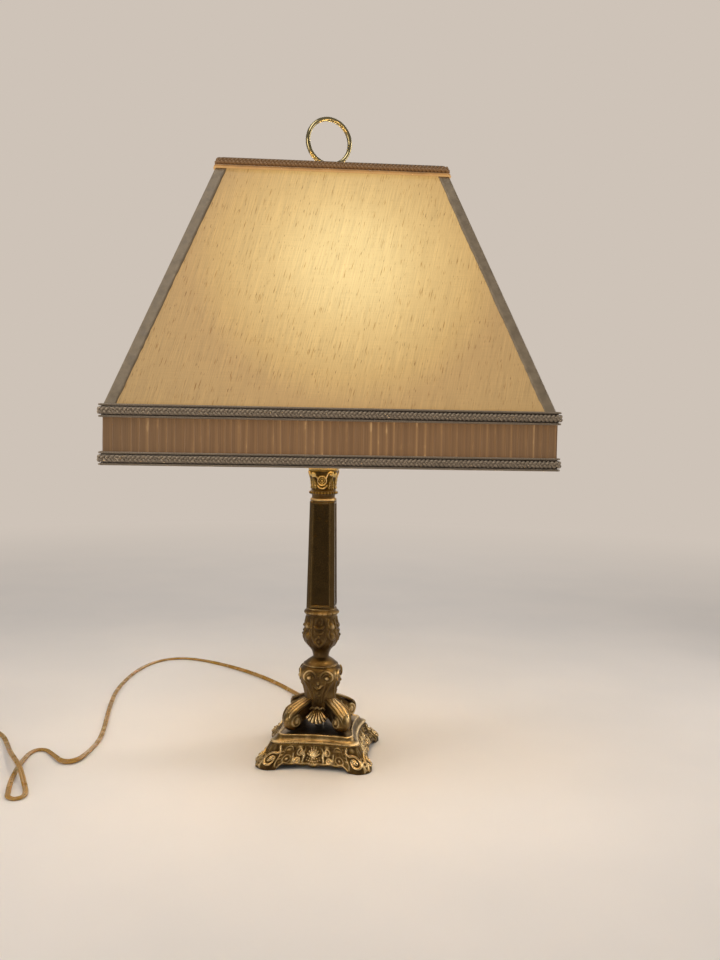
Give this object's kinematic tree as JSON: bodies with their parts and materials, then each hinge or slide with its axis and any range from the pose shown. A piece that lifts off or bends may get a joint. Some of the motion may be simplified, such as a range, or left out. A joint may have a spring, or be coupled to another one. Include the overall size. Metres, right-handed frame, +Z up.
{
  "type": "table lamp with shade",
  "caption": "Cast brass candlestick table lamp with a square fabric pyramid shade, braided trims, a pleated lower band, a ring finial and a free flat lead with plug.",
  "frame": {"origin": "centre of the base on the surface the lamp stands on", "axes": "+Z up the column; the shade is square to X and Y, and -Y is the front; the cast base is turned 9.7 degrees clockwise from above"},
  "size_m": [0.6348, 0.5884, 0.66],
  "materials": {
    "antique_brass": "cast, dark patina in the hollows, rubbed golden on the high points",
    "bright_brass": "satin plated",
    "polished_brass": "polished",
    "iron": "rough",
    "plated_steel": "zinc plated",
    "felt": "felt",
    "lead_plastic": "translucent gold, flexible",
    "plug_plastic": "moulded",
    "card": "varnished card",
    "phenolic": "moulded black",
    "aluminium": "satin",
    "frosted_glass": "frosted",
    "lining_fabric": "smooth satin",
    "silk": "slubbed shantung silk",
    "pleated_silk": "knife pleated silk",
    "gimp": "woven braid",
    "bias_binding": "satin bias strip",
    "frame_wire": "white"
  },
  "bodies": {
    "lamp": {"base_casting": "antique_brass", "pedestal_casting": "antique_brass", "dome_collar": "antique_brass", "urn_casting": "antique_brass", "column_astragal": "antique_brass", "capital": "antique_brass", "vase_cup": "antique_brass", "column": "antique_brass", "base_weight": "iron", "rod_washer": "plated_steel", "rod_nut": "plated_steel", "threaded_rod": "plated_steel", "base_cover": "felt", "lead_bushing": "lead_plastic", "lead_wires": "lead_plastic", "harp_saddle": "bright_brass", "harp": "bright_brass", "harp_stud": "bright_brass", "socket_cap": "bright_brass", "socket_shell": "bright_brass", "socket_insulator": "card", "socket_body": "phenolic", "socket_screw_shell": "aluminium", "socket_contact": "bright_brass", "cord_run": "lead_plastic", "cord_coil": "lead_plastic", "cord_tail": "lead_plastic", "plug_body": "plug_plastic", "plug_blades": "bright_brass"},
    "shade": {"shade_lining": "lining_fabric", "braid_bottom": "gimp", "braid_middle": "gimp", "braid_top": "gimp", "corner_bindings": "bias_binding", "frame_ring_top": "frame_wire", "frame_ring_middle": "frame_wire", "frame_ring_bottom": "frame_wire", "frame_ribs": "frame_wire", "frame_stays": "frame_wire", "spider_washer": "bright_brass", "spider_arms": "bright_brass", "shade_panel_front": "silk", "pleated_band_front": "pleated_silk", "shade_panel_right": "silk", "pleated_band_right": "pleated_silk", "shade_panel_back": "silk", "pleated_band_back": "pleated_silk", "shade_panel_left": "silk", "pleated_band_left": "pleated_silk"},
    "finial_insert": {"finial_insert": "polished_brass"},
    "finial": {"finial": "polished_brass"},
    "bulb_contact": {"bulb_contact": "plated_steel"},
    "bulb": {"bulb_base": "aluminium", "bulb_glass": "frosted_glass", "bulb_filament": "plated_steel"},
    "switch_knob": {"switch_knob": "phenolic"},
    "harp_ferrule_left": {"harp_ferrule_left": "bright_brass"},
    "harp_ferrule_right": {"harp_ferrule_right": "bright_brass"}
  },
  "joints": [
    {"name": "shade_turn", "type": "hinge", "parent": "lamp", "child": "shade", "pos_m": [0, 0, 0.572], "axis": [0, 0, 1], "continuous": true},
    {"name": "finial_rise", "type": "slide", "parent": "lamp", "child": "finial_insert", "axis": [0, 0, 1], "range_m": [0, 0.01364]},
    {"name": "finial_turn", "type": "hinge", "parent": "finial_insert", "child": "finial", "pos_m": [0, 0, 0.58], "axis": [0, 0, 1], "range_deg": [0, 5220]},
    {"name": "bulb_rise", "type": "slide", "parent": "lamp", "child": "bulb_contact", "axis": [0, 0, 1], "range_m": [0, 0.0181]},
    {"name": "bulb_turn", "type": "hinge", "parent": "bulb_contact", "child": "bulb", "pos_m": [0, 0, 0.39], "axis": [0, 0, 1], "range_deg": [0, 1800]},
    {"name": "switch_turn", "type": "hinge", "parent": "lamp", "child": "switch_knob", "pos_m": [-0.00337, -0.01971, 0.368], "axis": [-0.1685, -0.9857, 0], "continuous": true},
    {"name": "ferrule_left_lift", "type": "slide", "parent": "lamp", "child": "harp_ferrule_left", "axis": [0, 0, 1], "range_m": [0, 0.012]},
    {"name": "ferrule_right_lift", "type": "slide", "parent": "lamp", "child": "harp_ferrule_right", "axis": [0, 0, 1], "range_m": [0, 0.012]}
  ],
  "couplings": [
    {"joint": "finial_turn", "follows": "finial_rise", "rad_per_m": 6679},
    {"joint": "bulb_turn", "follows": "bulb_rise", "rad_per_m": 1731.6}
  ]
}
